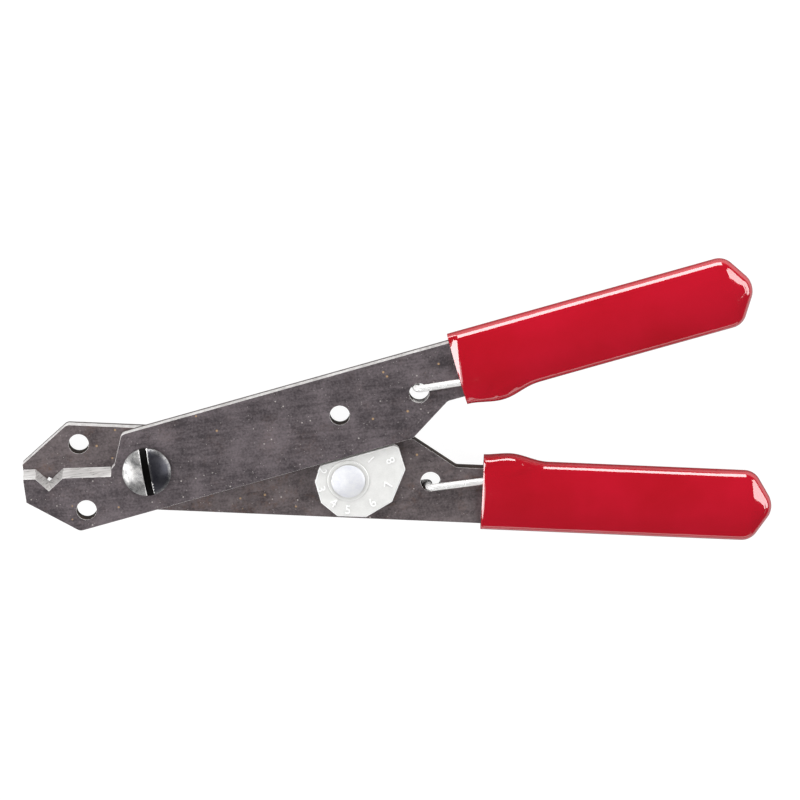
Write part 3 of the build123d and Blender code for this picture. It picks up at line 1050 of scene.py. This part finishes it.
# The slot of the screw is painted black inside, a painted shade in the recess, and its edges near white,
# partly wear and partly a painted highlight
def paintSlot(mesh, s):
    mesh.materials.append(metal["slotPaintedShade"])
    mesh.materials.append(metal["springSteel"])
    across = Vector((math.cos(s["turn"]), math.sin(s["turn"]), 0))
    for polygon in mesh.polygons:
        if polygon.center.z < s["above"]:
            continue
        away = abs(polygon.center.dot(across))
        if away < s["halfWidth"]:
            polygon.material_index = 1
        elif away < s["halfWidth"] + s["wornHighlight"] and polygon.normal.z < s["flat"]:
            polygon.material_index = 2


# Gives a second finish to the faces whose normal's Z lies between two limits
def paintTurned(mesh, finish, low, high):
    mesh.materials.append(metal[finish])
    for polygon in mesh.polygons:
        polygon.material_index = int(low < polygon.normal.z < high)


for node, body, slot, finish, width in smallParts:
    piece = softened(node, f"{node}_shaped", width, screwCrown if node == "pivot_screw" else None)
    piece.data.materials.append(metal[finish])
    if node == "pivot_screw":
        paintSlot(piece.data, screwSlot)
    if node == "dial":
        # the dial's broken edges take the white finish as a painted highlight
        paintTurned(piece.data, "paintedHighlightWhite", dialEdgeHighlight["steep"], dialEdgeHighlight["flat"])
    if node == "dial_rivet":
        # the rivet's sides take the darker zinc finish as a painted shade round its head
        paintTurned(piece.data, "zincSteel", -math.inf, rivetShadeSide["flat"])
    finishPiece(piece, body, slot, node)
print("small parts are made")


# Raised figures round the dial, one by each flat, with their tops towards the rivet, painted whiter than the
# dial as a painted highlight on their raised faces. Each place is a direction from X and a distance in
# millimetres from the rivet.
figures = {
    "places": {
        "1": (36.9, 5.4),
        "2": (151.3, 4.75),
        "3": (191.4, 4.85),
        "4": (231.2, 4.7),
        "5": (262.2, 5.2),
        "6": (308.7, 5.7),
        "7": (346.9, 6.85),
        "8": (19.2, 8.0),
    },
    "size": 2.05 * mm,
    "height": 0.16 * mm,
    "faceZ": 1.1 * mm,
    "merge": 0.002 * mm,
}


def makeFigures(s):
    rivetLow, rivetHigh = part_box("dial_rivet")
    centre = (rivetLow + rivetHigh) / 2
    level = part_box("dial")[0].z + s["faceZ"]
    sizes = {"Figure size": s["size"], "Height": s["height"], "Level": level, "Merge": s["merge"]}
    tree, size = newTree("dialFigures", sizes)
    joined = addNode(tree, "GeometryNodeJoinGeometry")
    centred = {"align_x": "CENTER", "align_y": "MIDDLE"}
    for character, (direction, reach) in s["places"].items():
        angle = math.radians(direction)
        place = Vector((centre.x, centre.y, 0))
        place += Vector((math.cos(angle), math.sin(angle), 0)) * (reach * mm)
        inputs = {"String": character, "Size": size["Figure size"]}
        letters = addNode(tree, "GeometryNodeStringToCurves", inputs, **centred).outputs[0]
        inputs = {"Geometry": letters, "Translation": place, "Rotation": (0, 0, angle + math.pi / 2)}
        turned = addNode(tree, "GeometryNodeTransform", inputs).outputs[0]
        tree.links.new(turned, joined.inputs[0])
    lines = addNode(tree, "GeometryNodeRealizeInstances", {"Geometry": joined.outputs[0]}).outputs[0]
    flat = addNode(tree, "GeometryNodeFillCurve", {"Curve": lines}, mode="NGONS").outputs[0]
    inputs = {"Mesh": flat, "Offset Scale": size["Height"], "Individual": False}
    raised = addNode(tree, "GeometryNodeExtrudeMesh", inputs, mode="FACES").outputs[0]
    under = addNode(tree, "GeometryNodeFlipFaces", {"Mesh": flat}).outputs[0]
    closed = addNode(tree, "GeometryNodeJoinGeometry", {"Geometry": raised})
    tree.links.new(under, closed.inputs[0])
    inputs = {"Geometry": closed.outputs[0], "Distance": size["Merge"]}
    merged = addNode(tree, "GeometryNodeMergeByDistance", inputs).outputs[0]
    lift = addNode(tree, "ShaderNodeCombineXYZ", {"Z": size["Level"]}).outputs[0]
    whole = addNode(tree, "GeometryNodeTransform", {"Geometry": merged, "Translation": lift}).outputs[0]
    obj = newObject("dial_figures", bpy.data.meshes.new("dial_figures"))
    grown(obj, tree, whole, metal["paintedHighlightWhite"], sizes)
    work = bmesh.new()
    work.from_mesh(obj.data)
    bmesh.ops.recalc_face_normals(work, faces=work.faces)
    work.to_mesh(obj.data)
    work.free()
    finishPiece(obj, "dial", "dial_metal")


makeFigures(figures)
print("figures are made")


# Floor and light. The floor is white to the eye and in reflections, where its glow falls close under the
# tool as a painted shade, and it keeps a faint shadow. The sky is pale near the horizon and dark overhead.
studio = {
    "floorSize": 3.0,
    "floorLevel": -0.02 * mm,
    "floorColour": (0.5, 0.5, 0.5),
    "floorRoughness": 0.8,
    "whiteGlow": 0.95,
    "whiteShade": (0.12, 0.12, 0.12),
    "nearTool": 26 * mm,
    "nearGlow": 0.05,
    "nearSamples": 8,
    "nearRange": (0.72, 1.0),  # how open the floor is to the sky there
    "horizon": 0.26,
    "overhead": 0.07,
    "horizonBand": (0.05, 0.30),
    "lampDistance": 1.3,
    "lamps": {
        "key": {"from": (97, 72), "size": (1.0, 1.05), "power": 21.5},
        "left": {"from": (194, 62), "size": (1.1, 0.5), "power": 11.5},
        "right": {"from": (8, 56), "size": (1.1, 0.75), "power": 12},
        "high": {"from": (222, 31), "size": (0.62, 0.6), "power": 2.8},
        "front": {"from": (280, 70), "size": (1.3, 0.35), "power": 1.8},
    },
}


def makeFloor(s):
    mesh = bpy.data.meshes.new("floor")
    half = s["floorSize"] / 2
    corners = [(-half, -half), (half, -half), (half, half), (-half, half)]
    points = [Vector((target.x + x, target.y + y, s["floorLevel"])) for x, y in corners]
    mesh.from_pydata(points, [], [(0, 1, 2, 3)])
    floor = newObject("floor", mesh)
    material = bpy.data.materials.new("floor")
    material.use_nodes = True
    tree = material.node_tree
    shader = tree.nodes["Principled BSDF"]
    shader.inputs["Base Color"].default_value = (*s["floorColour"], 1.0)
    shader.inputs["Roughness"].default_value = s["floorRoughness"]
    shader.inputs["Specular IOR Level"].default_value = 0.0
    shade = addNode(tree, "ShaderNodeBsdfDiffuse", {"Color": (*s["whiteShade"], 1.0)})
    inputs = {"Distance": s["nearTool"]}
    occlusion = addNode(tree, "ShaderNodeAmbientOcclusion", inputs, samples=s["nearSamples"])
    openness = occlusion.outputs["AO"]
    # painted shade: the floor's glow in reflections falls close under the tool
    near = ramp(tree, openness, *s["nearRange"], s["nearGlow"] * s["whiteGlow"], s["whiteGlow"])
    mirrored = addNode(tree, "ShaderNodeLightPath").outputs["Is Glossy Ray"]
    inputs = {0: mirrored, 2: s["whiteGlow"], 3: near}
    strength = addNode(tree, "ShaderNodeMix", inputs, data_type="FLOAT").outputs[0]
    glow = addNode(tree, "ShaderNodeEmission", {"Color": (1, 1, 1, 1), "Strength": strength})
    white = addNode(tree, "ShaderNodeAddShader")
    tree.links.new(shade.outputs[0], white.inputs[0])
    tree.links.new(glow.outputs[0], white.inputs[1])
    both = addNode(tree, "ShaderNodeMixShader", {0: seenDirectly(tree)})
    tree.links.new(shader.outputs[0], both.inputs[1])
    tree.links.new(white.outputs[0], both.inputs[2])
    tree.links.new(both.outputs[0], tree.nodes["Material Output"].inputs["Surface"])
    mesh.materials.append(material)


# 1 where the eye looks, also by way of a reflection or through a clear piece
def seenDirectly(tree):
    path = addNode(tree, "ShaderNodeLightPath")
    seen = calculate(tree, "MAXIMUM", path.outputs["Is Camera Ray"], path.outputs["Is Glossy Ray"])
    return calculate(tree, "MAXIMUM", seen, path.outputs["Is Transmission Ray"])


# A soft box, placed by its turn round the picture from the right and its angle off the zenith
def makeLamp(name, s, distance):
    data = bpy.data.lights.new(name, "AREA")
    data.shape = "RECTANGLE"
    data.size, data.size_y = s["size"]
    data.energy = s["power"]
    turn, tilt = (math.radians(angle) for angle in s["from"])
    level = right * math.cos(turn) + up * math.sin(turn)
    back = level * math.sin(tilt) + Vector((0, 0, math.cos(tilt)))
    side = Vector((0, 0, 1)).cross(back).normalized()
    obj = bpy.data.objects.new(name, data)
    bpy.context.scene.collection.objects.link(obj)
    turned = Matrix((side, back.cross(side), back)).transposed()
    obj.matrix_world = Matrix.Translation(target + back * distance) @ turned.to_4x4()


def makeWorld(s):
    world = bpy.data.worlds.new("studio")
    world.use_nodes = True
    tree = world.node_tree
    direction = addNode(tree, "ShaderNodeTexCoord").outputs["Generated"]
    height = addNode(tree, "ShaderNodeSeparateXYZ", {"Vector": direction}).outputs["Z"]
    strength = ramp(tree, height, *s["horizonBand"], s["horizon"], s["overhead"])
    tree.nodes["Background"].inputs["Color"].default_value = (1, 1, 1, 1)
    tree.links.new(strength, tree.nodes["Background"].inputs["Strength"])
    bpy.context.scene.world = world


makeFloor(studio)
for name, lamp in studio["lamps"].items():
    makeLamp(name, lamp, studio["lampDistance"])
makeWorld(studio)
bpy.context.scene.view_settings.view_transform = "Standard"
print("studio is set")
